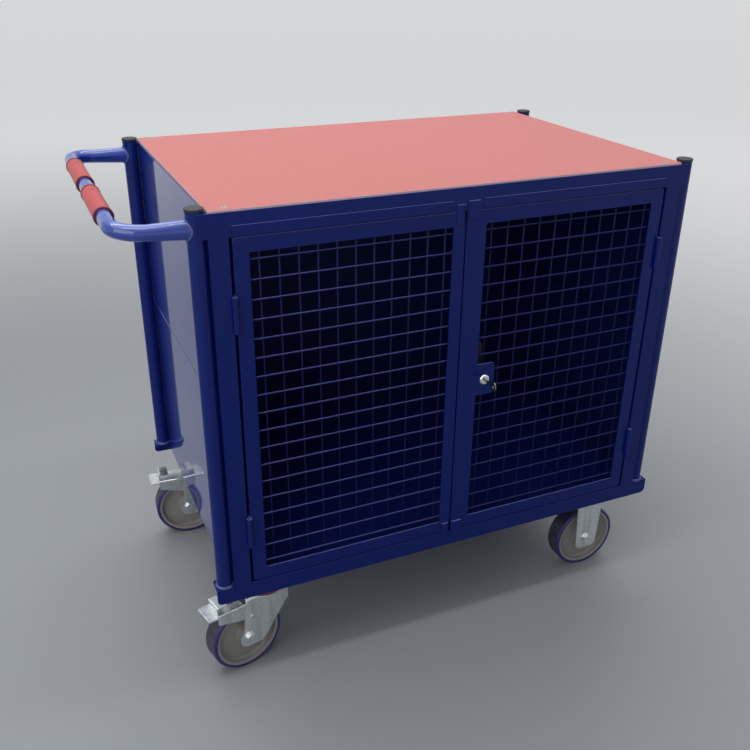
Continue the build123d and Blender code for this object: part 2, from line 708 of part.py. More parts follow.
def bar_gaps(low, high, pitch, shift=0.0):
    """Clear spans between wires at a pitch, about a window's middle, with an edge that laps the frame."""
    count = int((high - low) / pitch) + 1
    first = (low + high - (count - 1) * pitch) / 2 + shift
    wires = [first + i * pitch for i in range(count)]
    starts = [low - MESH_LAP + WIRE] + [wire + WIRE / 2 for wire in wires]
    ends = [wire - WIRE / 2 for wire in wires] + [high + MESH_LAP - WIRE]
    return [(a, b) for a, b in zip(starts, ends) if b - a > WIRE]


def door_mesh(side):
    """The welded mesh, as one flat net with square gaps."""
    x0, x1 = door_window(side)
    z0, z1 = DOOR_LOW + DOOR_BAR, DOOR_TOP - DOOR_BAR

    def loop(a, b, c, d):
        corners = [(a, MESH_FRONT, c), (b, MESH_FRONT, c), (b, MESH_FRONT, d), (a, MESH_FRONT, d)]
        return Wire(Polyline(*corners, close=True).edges())

    columns = bar_gaps(x0, x1, MESH_PITCH_X, MESH_SHIFT)
    rows = bar_gaps(z0, z1, MESH_PITCH_Z)
    gaps = [loop(*column, *row) for column in columns for row in rows]
    edge = loop(x0 - MESH_LAP, x1 + MESH_LAP, z0 - MESH_LAP, z1 + MESH_LAP)
    net = extrude(Face(edge, gaps), amount=WIRE, dir=(0, 1, 0))
    if side > 0:
        room = LOCK_NUT_HEX / math.sqrt(3) + MESH_LOCK_GAP
        net = net - block(x0 - MESH_LAP, LOCK_X + room, MESH_FRONT, MESH_FRONT + WIRE,
                          LOCK_Z - room, LOCK_Z + room)
    return [max(net.solids(), key=lambda solid: solid.volume)]


def door_stops(x, width, up):
    """Plates that bear on the lintel and on the base rail when the door is shut."""
    stops = []
    for z in (DOOR_TOP + up - STOP_H, DOOR_LOW - STOP_OUT):
        plate = block(x, x + width, FRONT - STOP_T, FRONT, z, z + STOP_H)
        stops.append(chamfer(plate.faces().sort_by(Axis.Y)[0].edges(), STOP_EDGE))
    return stops


def gap_bar():
    """Flat bar on the left door that fills most of the gap between the doors."""
    front = FRONT + GAP_BAR_BACK
    return [block(LEFT_DOOR_EDGE, LEFT_DOOR_EDGE + GAP_BAR_T, front, front + GAP_BAR_DEPTH,
                  DOOR_LOW + GAP_BAR_END, DOOR_TOP - GAP_BAR_END)]


# Lock

def lock_bar(y0, y1, radius):
    """A round bar on the lock's axis."""
    return crossbar((LOCK_X, LOCK_Z), y0, y1, radius)


def lock_plate():
    plate = block(LOCK_BAR_X, LOCK_BAR_X + LOCK_PLATE_W, FRONT, MESH_FRONT,
                  LOCK_Z - LOCK_PLATE_H / 2, LOCK_Z + LOCK_PLATE_H / 2)
    plate = fillet(edges_along(plate, Axis.Y, lambda c: c.X > LOCK_X), LOCK_PLATE_R)
    return [plate - lock_bar(FRONT - CUT, MESH_FRONT + CUT, LOCK_BODY_R + FIT)]


def lock_housing():
    """Rose and barrel in one piece, and the nut behind the plate."""
    rose = lock_bar(LOCK_FACE, FRONT, LOCK_ROSE_R)
    rose = fillet(rose.edges().sort_by(Axis.Y)[0], LOCK_ROSE_EDGE_R)
    housing = rose + lock_bar(FRONT, DOOR_BACK, LOCK_BODY_R)
    nut_end = MESH_FRONT + LOCK_NUT_T
    nut = hexagon((LOCK_X, MESH_FRONT, LOCK_Z), (LOCK_X, nut_end, LOCK_Z), LOCK_NUT_HEX)
    return [housing - lock_bar(LOCK_FACE - CUT, DOOR_BACK + CUT, PLUG_R + RUN_FIT),
            nut - lock_bar(MESH_FRONT - CUT, nut_end + CUT, LOCK_BODY_R + FIT)]


def lock_plug():
    """Turning plug with a key slot in front and a square tenon for the cam behind."""
    plug = lock_bar(PLUG_FACE, DOOR_BACK + TURN_GAP, PLUG_R)
    tenon = block(LOCK_X - TENON / 2, LOCK_X + TENON / 2, DOOR_BACK, CAM_Y + CAM_T,
                  LOCK_Z - TENON / 2, LOCK_Z + TENON / 2)
    half_t = KEY_T / 2 + KEY_FIT
    half_w = KEY_BLADE_W / 2 + KEY_FIT
    slot = block(LOCK_X - half_t, LOCK_X + half_t, PLUG_FACE, PLUG_FACE + KEY_BLADE_IN,
                 LOCK_Z - half_w, LOCK_Z + half_w)
    return [plug + tenon - slot]


def door_key():
    """Flat key, pushed home in the plug: blade, neck and a round bow with a hole."""
    x0, x1 = LOCK_X - KEY_T / 2, LOCK_X + KEY_T / 2
    bow_y = PLUG_FACE - KEY_NECK - KEY_BOW_R
    hole_y = bow_y - KEY_BOW_R + KEY_HOLE_IN
    blade = block(x0, x1, bow_y, PLUG_FACE + KEY_BLADE_IN, LOCK_Z - KEY_BLADE_W / 2, LOCK_Z + KEY_BLADE_W / 2)
    bow = rod((x0, bow_y, LOCK_Z), (x1, bow_y, LOCK_Z), KEY_BOW_R)
    return [blade + bow - rod((x0, hole_y, LOCK_Z), (x1, hole_y, LOCK_Z), KEY_HOLE_R)]


def lock_cam():
    """Cam bar, upright when the lock is open, with the screw that holds it."""
    outline = Pos(LOCK_X, LOCK_Z + (CAM_L - CAM_W) / 2) * SlotOverall(CAM_L, CAM_W, rotation=90)
    outline = outline - Pos(LOCK_X, LOCK_Z) * Rectangle(TENON + 2 * FIT, TENON + 2 * FIT)
    back = CAM_Y + CAM_T
    screw = lock_bar(back, back + CAM_SCREW_T, CAM_SCREW_R)
    return [slab(outline, CAM_Y, back), fillet(screw.edges().sort_by(Axis.Y)[-1], CAM_SCREW_EDGE_R)]


# Bolt inside the left door

def bolt_guides():
    guides = []
    for up in GUIDE_UP:
        z = BOLT_LOW + up
        guide = block(BOLT_X - GUIDE_W / 2, BOLT_X + GUIDE_W / 2, MESH_FRONT, BOLT_Y + BOLT_R + GUIDE_WALL,
                      z, z + GUIDE_H)
        guides.append(guide - upright((BOLT_X, BOLT_Y), z - CUT, z + GUIDE_H + CUT, BOLT_R + RUN_FIT))
    return guides


def door_bolt():
    shaft = upright((BOLT_X, BOLT_Y), BOLT_LOW, BOLT_LOW + BOLT_L, BOLT_R)
    shaft = chamfer(shaft.edges().sort_by(Axis.Z)[-1], BOLT_TIP_CHAMFER)
    return [shaft + crossbar((BOLT_X, BOLT_LOW + KNOB_UP), BOLT_Y, BOLT_Y + KNOB_L, KNOB_R)]


# Casters

def caster_bolts():
    bolts = []
    for x, y in caster_bolt_places():
        tip = BASE_WALL_TOP + CASTER_NUT_T + CASTER_BOLT_TAIL
        head = hexagon((x, y, PLATE_LOW - CASTER_HEAD_T), (x, y, PLATE_LOW), CASTER_HEX)
        bolts.append(head + upright((x, y), PLATE_LOW, tip, CASTER_BOLT_R))
    return bolts


def caster_nuts():
    nuts = []
    for x, y in caster_bolt_places():
        top = BASE_WALL_TOP + CASTER_NUT_T
        nut = hexagon((x, y, BASE_WALL_TOP), (x, y, top), CASTER_HEX)
        nuts.append(nut - upright((x, y), BASE_WALL_TOP, top, CASTER_BOLT_R + FIT))
    return nuts


def mounting_plate(x, y):
    plate = Pos(x, y, PLATE_LOW) * RectangleRounded(PLATE_L, PLATE_W, PLATE_CORNER_R)
    return extrude(plate, amount=PLATE_T) - caster_bolt_holes()


def swivel_plate(x, y):
    """Mounting plate with the upper race pressed out of it."""
    race = Cone(HEAD_R - RACE_TAPER, HEAD_R, RACE_H, align=(Align.CENTER, Align.CENTER, Align.MIN))
    bore = upright((x, y), RACE_LOW - CUT, BASE_Z + CUT, KINGPIN_R + FIT)
    return [mounting_plate(x, y) + Pos(x, y, RACE_LOW) * race - bore]


def swivel_places():
    return [(SWIVEL_X, -CASTER_Y), (SWIVEL_X, CASTER_Y)]


def swivel_seals():
    """Seal rings under the races, over the fork heads."""
    outer = HEAD_R - SEAL_IN
    return [upright(place, SEAL_LOW, RACE_LOW, outer) - upright(place, SEAL_LOW, RACE_LOW, outer - SEAL_W)
            for place in swivel_places()]


def swivel_kingpins():
    pins = []
    for x, y in swivel_places():
        nut_top = CROWN_LOW - TURN_GAP
        nut_low = nut_top - KINGPIN_NUT_T
        nut = hexagon((x, y, nut_low), (x, y, nut_top), KINGPIN_HEX)
        pins.append(nut + upright((x, y), nut_low - CASTER_BOLT_TAIL, BASE_Z, KINGPIN_R))
    return pins


def bent_sheet(x0, x1, low, top):
    """Sheet bent to an upside-down U around the wheel, from x0 to x1."""
    sheet = block(x0, x1, -LEG_OUT, LEG_OUT, low, top)
    sheet = fillet(edges_along(sheet, Axis.X, lambda c: c.Z > top - CUT), FORK_BEND_R)
    under = top - FORK_T
    room = block(x0, x1, -LEG_IN, LEG_IN, low, under)
    return sheet - fillet(edges_along(room, Axis.X, lambda c: c.Z > under - CUT), FORK_BEND_R - FORK_T)


def leg_hole(x, z, radius):
    """A hole through both fork legs."""
    return crossbar((x, z), -LEG_OUT - CUT, LEG_OUT + CUT, radius)


def cut_legs(outline, low, top):
    """A bent sheet with its legs cut to an outline."""
    box = outline.bounding_box()
    sheet = bent_sheet(box.min.X - CUT, box.max.X + CUT, low - CUT, top)
    return sheet & slab(outline, -LEG_OUT - CUT, LEG_OUT + CUT)


def swivel_fork():
    """Fork that trails behind the swivel axis, at the origin, along -X."""
    foot = WHEEL_R - FORK_NOSE_R
    outline = polygon((-FORK_BACK, CROWN_TOP), (-FORK_BACK, CROWN_TOP - FORK_BACK_DROP),
                      (-TRAIL - FORK_NECK_OUT, WHEEL_R + FORK_NECK_UP), (-TRAIL, foot),
                      (-TRAIL + FORK_TOE_IN, foot), (FORK_FRONT, CROWN_TOP - FORK_FRONT_DROP),
                      (FORK_FRONT, CROWN_TOP))
    outline = outline + Pos(-TRAIL, WHEEL_R) * Circle(FORK_NOSE_R)
    fork = cut_legs(outline, foot, CROWN_TOP) + upright((0, 0), CROWN_LOW, CROWN_TOP, HEAD_R)
    fork = fork - leg_hole(-TRAIL, WHEEL_R, AXLE_R + FIT)
    fork = fork - leg_hole(PEDAL_PIN_X, PEDAL_PIN_Z, PEDAL_PIN_R + FIT)
    return [fork - upright((0, 0), CROWN_LOW - CUT, CROWN_TOP + CUT, KINGPIN_R + RUN_FIT)]


def fixed_fork(x, y):
    """Mounting plate with two legs straight down to the axle."""
    foot = WHEEL_R - FIXED_FOOT_DROP
    cut = FIXED_FOOT_CHAMFER
    half = [(FIXED_FOOT_HALF - cut, foot), (FIXED_FOOT_HALF, foot + cut), (FIXED_TOP_HALF, PLATE_LOW)]
    outline = polygon(*half, *[(-across, z) for across, z in reversed(half)])
    legs = cut_legs(outline, foot, PLATE_LOW) - leg_hole(0, WHEEL_R, AXLE_R + FIT)
    return [mounting_plate(x, y) + Pos(x, y, 0) * legs]


def axle_set(x):
    """Axle bolt, nut, washers and the sleeve that the wheel runs on."""
    axle = (x, WHEEL_R)
    seat = LEG_OUT + AXLE_WASHER_T
    nut_end = seat + AXLE_NUT_T
    bore = crossbar(axle, -nut_end - CUT, nut_end + CUT, AXLE_R + FIT)
    head = hexagon((x, -seat - AXLE_HEAD_T, WHEEL_R), (x, -seat, WHEEL_R), AXLE_HEX)
    nut = hexagon((x, seat, WHEEL_R), (x, nut_end, WHEEL_R), AXLE_HEX)
    return [head + crossbar(axle, -seat, nut_end + AXLE_TAIL, AXLE_R), nut - bore,
            crossbar(axle, -seat, -LEG_OUT, AXLE_WASHER_R) - bore,
            crossbar(axle, LEG_OUT, seat, AXLE_WASHER_R) - bore,
            crossbar(axle, -LEG_IN, LEG_IN, SLEEVE_R) - bore]


def brake_pins():
    """A rivet through each fork leg, which the pedal's cheek turns on."""
    pivot = (PEDAL_PIN_X, PEDAL_PIN_Z)
    head = LEG_OUT + PEDAL_PIN_HEAD_T
    return [crossbar(pivot, *sorted((side * CHEEK_IN, side * head)), PEDAL_PIN_R)
            + crossbar(pivot, *sorted((side * LEG_OUT, side * head)), PEDAL_PIN_HEAD_R) for side in (-1, 1)]


def turned(outline, x):
    """An outline drawn as radius and width, turned about the axle."""
    return Pos(x, 0, WHEEL_R) * revolve(outline, axis=Axis.Y)


def wheel_centre(x):
    """Hub, dished web and rim in one moulding."""
    rim_in = RIM_R - RIM_WALL
    web = WEB_W / 2
    half = [(SLEEVE_R + RUN_FIT, HUB_HALF), (HUB_R - HUB_CHAMFER, HUB_HALF),
            (HUB_R, HUB_HALF - HUB_CHAMFER), (HUB_R + HUB_CHAMFER, web + HUB_CHAMFER),
            (HUB_R + WEB_FILLET, web), (rim_in - WEB_FILLET, web - WEB_DISH),
            (rim_in - RIM_LIP, web + WEB_DISH), (rim_in, RIM_HALF - RIM_LIP),
            (rim_in + RIM_LIP, RIM_HALF), (RIM_R, RIM_HALF)]
    return [turned(polygon(*half, *[(radius, -width) for radius, width in reversed(half)]), x)]


def tyre(x):
    depth = TYRE_T - FIT
    middle = WHEEL_R - depth / 2
    band = Pos(middle, 0) * Rectangle(depth, TYRE_W)
    return [turned(fillet([corner for corner in band.vertices() if corner.X > middle], TYRE_SHOULDER_R), x)]


def brake_pedal():
    """Stamped lever over the wheel, with a low tread to brake, a high one to release, and the brake pad."""
    heel = PEDAL_PIN_X + PEDAL_EYE
    end = -TRAIL - PEDAL_OUT
    top = TYRE_TOP + PEDAL_TOP_UP
    under = top - PEDAL_T
    tread_top = TYRE_TOP + TREAD_UP
    tread_low = tread_top - TREAD_T
    near_low = TYRE_TOP - PEDAL_NEAR_DOWN
    eye_low = PEDAL_PIN_Z - PEDAL_EYE
    inner_bend = PEDAL_BEND_R - PEDAL_T
    lever = slab(polygon((heel, top), (heel, eye_low), (PEDAL_PIN_X, eye_low), (-FORK_BACK, near_low),
                         (end, TYRE_TOP - PEDAL_FAR_DOWN), (end, top)), -CHEEK_OUT, CHEEK_OUT)
    lever = fillet(edges_along(lever, Axis.X, lambda c: c.Z > top - CUT), PEDAL_BEND_R)
    room = block(end - CUT, heel + CUT, -CHEEK_IN, CHEEK_IN, eye_low - CUT, under)
    lever = lever - fillet(edges_along(room, Axis.X, lambda c: c.Z > under - CUT), inner_bend)
    lever = lever - leg_hole(PEDAL_PIN_X, PEDAL_PIN_Z, PEDAL_PIN_R + RUN_FIT)
    tread = block(end - TREAD_L, end, -TREAD_HALF_W, TREAD_HALF_W, tread_low, tread_top)
    tread = fillet(edges_along(tread, Axis.Z, lambda c: c.X < end - CUT), TREAD_CORNER_R)
    lip_half = TREAD_HALF_W - TREAD_CORNER_R
    lip = block(end - TREAD_L, end - TREAD_L + LIP_W, -lip_half, lip_half, tread_low, tread_top + LIP_H)
    tread = tread + fillet(edges_along(lip, Axis.Y, lambda c: c.Z > tread_top + CUT), LIP_R)
    cheek_flat = CHEEK_OUT - PEDAL_BEND_R
    tread = tread + block(end, end + PEDAL_T, -cheek_flat, cheek_flat, tread_low, top)
    release = TYRE_TOP + RELEASE_UP
    step = block(end, end + RELEASE_L, -RELEASE_HALF_W, RELEASE_HALF_W, tread_low, release)
    step = fillet(edges_along(step, Axis.Y, lambda c: c.X < end + CUT and c.Z > release - CUT), PEDAL_BEND_R)
    hollow = block(end + PEDAL_T, end + RELEASE_L + CUT, -RELEASE_HALF_W - CUT, RELEASE_HALF_W + CUT,
                   tread_low - CUT, release - PEDAL_T)
    bend = edges_along(hollow, Axis.Y, lambda c: c.X < end + PEDAL_T + CUT and c.Z > tread_top)
    step = step - fillet(bend, inner_bend)
    pad = block(-TRAIL - PAD_FAR, -TRAIL - PAD_NEAR, -PAD_HALF_W, PAD_HALF_W, TYRE_TOP + PAD_UP, under)
    return [lever + tread + step, pad]


def parked(shapes, place, turn):
    """Caster pieces moved from the swivel axis at the origin to their place on the cart."""
    return [Pos(*place, 0) * Rot(0, 0, turn) * shape for shape in shapes]


# Every node of the cart

nodes = {
    "front_base_rail": base_rail(-1),
    "rear_base_rail": base_rail(1),
    "base_end_members": end_members(),
    "caster_mounting_plates": caster_mounting_plates(),
    "floor_panel": floor_panel(),
    "corner_posts": corner_posts(),
    "post_caps": post_caps(),
    "front_lintel": front_lintel(),
    "lintel_strips": lintel_strips(),
    "front_stiles": front_stiles(),
    "left_upper_panel": side_panel(-1, True),
    "left_lower_panel": side_panel(-1, False),
    "right_upper_panel": side_panel(1, True),
    "right_lower_panel": side_panel(1, False),
    "back_panel": back_panel(),
    "top_board": top_board(),
    "board_screws": board_screws(),
    "push_handle": push_handle(),
    "grip_screws": grip_screws(),
    "frame_hinge_leaves": frame_hinge_leaves(),
    "hinge_pins": hinge_pins(),
    "left_door_frame": door_frame(-1),
    "left_door_mesh": door_mesh(-1),
    "left_door_stop_bars": door_stops(LEFT_STOP_X, LEFT_STOP_W, STOP_OUT) + gap_bar(),
    "left_door_hinge_leaves": door_hinge_leaves(-1),
    "bolt_guides": bolt_guides(),
    "door_bolt": door_bolt(),
    "right_door_frame": door_frame(1),
    "right_door_mesh": door_mesh(1),
    "right_door_stops": door_stops(RIGHT_STOP_X, RIGHT_STOP_W, RIGHT_STOP_UP),
    "right_door_hinge_leaves": door_hinge_leaves(1),
    "lock_plate": lock_plate(),
    "lock_housing": lock_housing(),
    "lock_plug": lock_plug(),
    "door_key": door_key(),
    "lock_cam": lock_cam(),
    "caster_fasteners": caster_bolts() + caster_nuts(),
    "swivel_seals": swivel_seals(),
    "swivel_kingpins": swivel_kingpins(),
    "fixed_axles": [],
}

for name, span in grip_spans().items():
    nodes[name] = handle_grip(span)

left_casters = {"front_left": FRONT_CASTER_TURN, "rear_left": REAR_CASTER_TURN}
for (corner, turn), place in zip(left_casters.items(), swivel_places()):
    nodes[corner + "_caster_plate"] = swivel_plate(*place)
    nodes[corner + "_fork"] = parked(swivel_fork(), place, turn)
    nodes[corner + "_axle"] = parked(axle_set(-TRAIL) + brake_pins(), place, turn)
    nodes[corner + "_wheel"] = parked(wheel_centre(-TRAIL), place, turn)
    nodes[corner + "_tyre"] = parked(tyre(-TRAIL), place, turn)
    nodes[corner + "_pedal"] = parked(brake_pedal(), place, turn)

for corner, side in (("front_right", -1), ("rear_right", 1)):
    place = (FIXED_X, side * CASTER_Y)
    nodes[corner + "_fork"] = fixed_fork(*place)
    nodes[corner + "_wheel"] = parked(wheel_centre(0), place, 0)
    nodes[corner + "_tyre"] = parked(tyre(0), place, 0)
    nodes["fixed_axles"] += parked(axle_set(0), place, 0)

os.makedirs("parts", exist_ok=True)
for name, shapes in nodes.items():
    solids = [solid for shape in shapes for solid in shape.solids()]
    export_step(Compound(solids), os.path.join("parts", name + ".step"))
    print(name, len(solids), "solids", round(sum(solid.volume for solid in solids) / 1000, 1), "cm3")
print(len(nodes), "nodes")
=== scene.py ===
import json
import math

import bpy
from mathutils import Matrix, Vector


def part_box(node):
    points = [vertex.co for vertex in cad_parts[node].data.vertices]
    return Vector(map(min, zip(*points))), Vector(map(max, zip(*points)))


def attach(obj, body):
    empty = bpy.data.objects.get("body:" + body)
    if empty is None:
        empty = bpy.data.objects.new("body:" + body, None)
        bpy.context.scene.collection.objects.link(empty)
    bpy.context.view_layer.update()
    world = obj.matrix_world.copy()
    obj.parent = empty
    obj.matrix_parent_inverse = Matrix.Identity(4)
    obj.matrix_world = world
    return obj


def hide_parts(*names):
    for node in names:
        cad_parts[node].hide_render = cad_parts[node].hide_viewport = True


# Mesh cart: the finish of every surface, the round wires of the door meshes, the welds and the studio.
# Metres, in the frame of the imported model: +Z up, doors towards -Y, push handle on the -X end.

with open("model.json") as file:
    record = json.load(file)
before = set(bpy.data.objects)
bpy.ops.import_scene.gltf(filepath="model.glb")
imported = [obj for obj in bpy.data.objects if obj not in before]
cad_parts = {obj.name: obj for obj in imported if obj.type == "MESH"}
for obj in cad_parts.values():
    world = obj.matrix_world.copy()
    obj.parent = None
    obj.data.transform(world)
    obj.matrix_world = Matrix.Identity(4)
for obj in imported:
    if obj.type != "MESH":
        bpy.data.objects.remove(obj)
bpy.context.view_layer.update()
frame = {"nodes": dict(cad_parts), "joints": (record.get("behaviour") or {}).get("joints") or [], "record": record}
nodes = frame["nodes"]

MM = 0.001


def srgb(red, green, blue):
    """A screen colour, from 0 to 255, as linear light."""
    def linear(level):
        share = level / 255
        return share / 12.92 if share <= 0.04045 else ((share + 0.055) / 1.055) ** 2.4
    return linear(red), linear(green), linear(blue)


# Camera, as the photograph was taken
CAMERA_PLACE = Vector((-0.8609, -1.8361, 1.5106))
CAMERA_YAW = math.radians(23.85)     # from +Y towards +X
CAMERA_PITCH = math.radians(26.13)   # below the horizon
CAMERA_ROLL = math.radians(0.56)
PHOTO_SIDE = 750                     # pixels
PHOTO_FOCAL = 879.12                 # pixels
SENSOR = 36.0                        # millimetres

# Studio
FLOOR_SIDE = 160.0
FLOOR_NEAR = (0.33, 0.35, 0.37, 1)
FLOOR_FAR = (0.66, 0.67, 0.68, 1)
FLOOR_GLOW = (0.42, 0.425, 0.43, 1)  # what the far floor shows the camera past its own shade
FLOOR_MIDDLE = (-0.8, 0.2, 0)        # where the floor is darkest
FLOOR_PALER_AT = 3.05                # from the middle, halfway from near to far
FLOOR_PALER_BLUR = 1.85
FLOOR_GLOW_AT = 3.8
FLOOR_GLOW_BLUR = 2.7
FLOOR_ROUGHNESS = 0.5
SKY_LIGHT = (0.19, 0.196, 0.205, 1)
HORIZON_SHOWN = (0.69, 0.71, 0.72, 1)
SKY_SHOWN = (0.52, 0.53, 0.54, 1)    # the backdrop over the horizon
SKY_AT = 0.14                        # sine of its elevation, halfway from horizon to sky
SKY_BLUR = 0.14
CEILING_SHOWN = (1, 1, 1, 1)         # the white ceiling that glossy paint mirrors
CEILING_AT = 0.6
CEILING_BLUR = 0.25

# Blue paint
PAINT_BLUE = srgb(16, 35, 112)
# Painted highlight: a paler colour on the edges that face up, standing in for the ceiling's reflection; on the
# base rails it stays near the plain blue.
EDGE_HIGHLIGHT = srgb(98, 106, 172)
RAIL_EDGE_HIGHLIGHT = srgb(18, 38, 118)
# Handle: a lighter copy of the blue paint, painted lighter for the light on the tube, with a paler painted
# highlight along its top.
HANDLE_LIT_BLUE = srgb(22, 60, 164)
HANDLE_HIGHLIGHT = srgb(62, 96, 186)
POST_BLUE = srgb(16, 36, 115)
# Mesh wires: a darker copy of the blue, painted shade for the dim upright wires, and a paler painted highlight on
# the level wires' tops, brighter on the left door, where more light falls.
WIRE_SHADED_BLUE = srgb(18, 24, 70)
LEFT_WIRE_HIGHLIGHT = srgb(74, 79, 144)
RIGHT_WIRE_HIGHLIGHT = srgb(43, 48, 108)
# Painted highlight: the weld bead's blue is made pale for the highlights on its ripples.
WELD_HIGHLIGHT_BLUE = srgb(80, 92, 152)
# Painted shade: the inner faces of the cabinet sheets are darker for the shade inside the cabinet.
SHEET_INNER_SHADE = srgb(15, 31, 86)
SHEET_OUTER = srgb(20, 46, 138)
CABINET_FLOOR_BLUE = srgb(15, 37, 118)

# Other finishes
LAMINATE_PINK = srgb(202, 119, 116)
BOARD_EDGE = srgb(208, 182, 186)
GRIP_RED = (0.485, 0.058, 0.064)
# Painted shade: the grips' collars are darker for the shade of their end faces.
COLLAR_SHADE_RED = (0.16, 0.008, 0.02)
COLLAR_L = 5.2 * MM
CAP_BLACK = (0.012, 0.012, 0.014)
ZINC_DULL = (0.60, 0.645, 0.66)
ZINC_BRIGHT = (0.84, 0.87, 0.88)
SPANGLE_SHARE = 0.06                 # of the spangle, beside the streaks
STEEL_BLACK = (0.018, 0.018, 0.024)
CHROME = (0.80, 0.81, 0.83)
NICKEL = (0.30, 0.29, 0.27)
SEAL_RED = (0.22, 0.03, 0.035)
WHEEL_GREY = srgb(148, 145, 140)
RIM_GREY = srgb(168, 165, 170)
RIM_R = 75.5 * MM                    # inner edge of the lighter band
TYRE_VIOLET = (0.038, 0.017, 0.155)
TREAD_SCUFF = (0.030, 0.031, 0.045)
TREAD_DUST = (0.13, 0.125, 0.135)
TREAD_R = 85.4 * MM                  # inner edge of the part that rolls
TREAD_HALF_W = 18.5 * MM

# Door meshes
WIRE_R = 2.0 * MM
WIRE_SINK = 0.7 * MM                 # one layer pressed into the other by the weld
WIRE_END = 0.5 * MM                  # bevel at the cut ends
WIRE_END_STEPS = 2
WIRE_SIDES = 12
MESH_PITCH_X = 38.5 * MM
MESH_PITCH_Z = 40.0 * MM
MESH_SHIFT = 3.0 * MM                # upright wires right of the middle of their window
MESH_LAP = 8.0 * MM                  # mesh behind the door frame
LOCK_ROOM = 16.0 * MM                # mesh cut away around the lock
ROUNDING = 1e-6                      # so that a wire on the window's edge counts

# Welds
FOOT_BEAD = 4.2 * MM
FOOT_RING = 16.2 * MM                # middle of the bead, under the post's wall
FOOT_UP = 1.2 * MM
ARM_BEAD = 2.2 * MM
ARM_WRAP = 0.98                      # of the post's radius, where the bead stops bending
RIPPLE = 0.7 * MM
BEAD_STEPS = 32                      # segments around a bead
BEAD_SIDES = 10
POST_R = 16.85 * MM
POST_X = 544.85 * MM
POST_Y = 329.15 * MM
RAIL_TOP = 265.0 * MM
RAIL_FACE = 347.8 * MM               # beads stop short of the front and back planes
PANEL_X = 527.8 * MM                 # outer face of the side panels
ARM_Z = 1055.0 * MM                  # middle of the handle's flared ends
ARM_HALF_W = 14.0 * MM
ARM_HALF_H = 19.0 * MM
SMOOTH_ANGLE = math.radians(40)      # edges sharper than this stay sharp


# Shader building

class Signal:
    """A shader socket that Python's operators work on."""

    def __init__(self, finish, socket):
        self.finish = finish
        self.socket = socket

    def math(self, operation, *others):
        return self.finish.node("Math", {"operation": operation}, dict(enumerate((self, *others))))

    def __add__(self, other):
        return self.math("ADD", other)

    def __sub__(self, other):
        return self.math("SUBTRACT", other)

    def __mul__(self, other):
        return self.math("MULTIPLY", other)

    def __rsub__(self, other):
        return self.finish.node("Math", {"operation": "SUBTRACT"}, {0: other, 1: self})

    __radd__ = __add__
    __rmul__ = __mul__

    def above(self, level, blur):
        """0 below a level and 1 above it, with a soft step."""
        limits = {"Value": self, "From Min": level - blur, "From Max": level + blur}
        return self.finish.node("MapRange", {"interpolation_type": "SMOOTHSTEP"}, limits)


class Shading:
    """A shader tree in the making."""

    def __init__(self, tree):
        self.tree = tree

    def plug(self, socket, value):
        """Link a signal to a socket, or set the socket's own value."""
        if isinstance(value, Signal):
            self.tree.links.new(value.socket, socket)
        else:
            socket.default_value = value

    def node(self, kind, settings=None, sockets=None, output=0):
        """Add a node by its type, with its settings first and then its sockets."""
        made = self.tree.nodes.new("ShaderNode" + kind)
        for name, value in (settings or {}).items():
            setattr(made, name, value)
        for key, value in (sockets or {}).items():
            self.plug(made.inputs[key], value)
        return Signal(self, made.outputs[output])

    def vector(self, operation, first, second, output="Vector"):
        return self.node("VectorMath", {"operation": operation}, {0: first, 1: second}, output)

    def along(self, place, axis):
        """One coordinate of a place."""
        return self.node("SeparateXYZ", None, {"Vector": place}, output=axis)

    def mix(self, factor, first, second):
        """A colour between two colours."""
        return self.node("Mix", {"data_type": "RGBA"}, {0: factor, 6: first, 7: second}, output=2)

    def shown(self):
        """1 for what the camera and its mirror images show, 0 for what lights the cart."""
        return self.node("LightPath", output="Is Camera Ray").math(
            "MAXIMUM", self.node("LightPath", output="Is Glossy Ray"))


class Finish(Shading):
    """A material in the making, with its principled shader."""

    def __init__(self, name):
        self.material = bpy.data.materials.new(name)
        self.material.use_nodes = True
        super().__init__(self.material.node_tree)
        self.shader = self.tree.nodes["Principled BSDF"]

    def place(self):
        return self.node("TexCoord", output="Object")

    def facing(self):
        return self.node("NewGeometry", output="Normal")

    def noise(self, scale, detail=2.0, place=None):
        sockets = {"Vector": place or self.place(), "Scale": scale, "Detail": detail}
        return self.node("TexNoise", None, sockets)

    def upward(self, level, blur):
        """1 where a surface faces up, 0 where it doesn't."""
        return self.along(self.facing(), "Z").above(level, blur)

    def shade(self, colour, amount, scale):
        """A colour that drifts a little darker and lighter over the surface."""
        dark = tuple(channel * (1 - amount) for channel in colour)
        light = tuple(min(1.0, channel * (1 + amount)) for channel in colour)
        return self.mix(self.noise(scale), (*dark, 1), (*light, 1))

    def uneven(self, least, spread, scale):
        """A value that drifts over the surface, from its least upwards."""
        return least + self.noise(scale) * spread

    def grain(self, scale, depth, strength=1.0, detail=2.0):
        """Fine bumps of a depth all over the surface."""
        sockets = {"Height": self.noise(scale, detail), "Distance": depth, "Strength": strength}
        return self.node("Bump", None, sockets, output="Normal")

    def surface(self, **sockets):
        """Set the principled shader's sockets; an underscore stands for a space."""
        for name, value in sockets.items():
            self.plug(self.shader.inputs[name.replace("_", " ")], value)
        return self.material


# Finishes

def blue_powder_coat(name, dust_and_highlight):
    """Powder coat with a faint orange peel, and a paler colour painted on the edges that face up as a highlight.
    """
    finish = Finish(name)
    base_blue = finish.shade(PAINT_BLUE, amount=0.10, scale=7)
    highlighted = finish.shade(dust_and_highlight, amount=0.15, scale=150)
    return finish.surface(Base_Color=finish.mix(finish.upward(level=0.5, blur=0.3), base_blue, highlighted),
                          Roughness=finish.uneven(0.11, spread=0.07, scale=30), Specular_IOR_Level=0.15,
                          Normal=finish.grain(scale=320, depth=0.03 * MM, strength=0.5, detail=1.0))


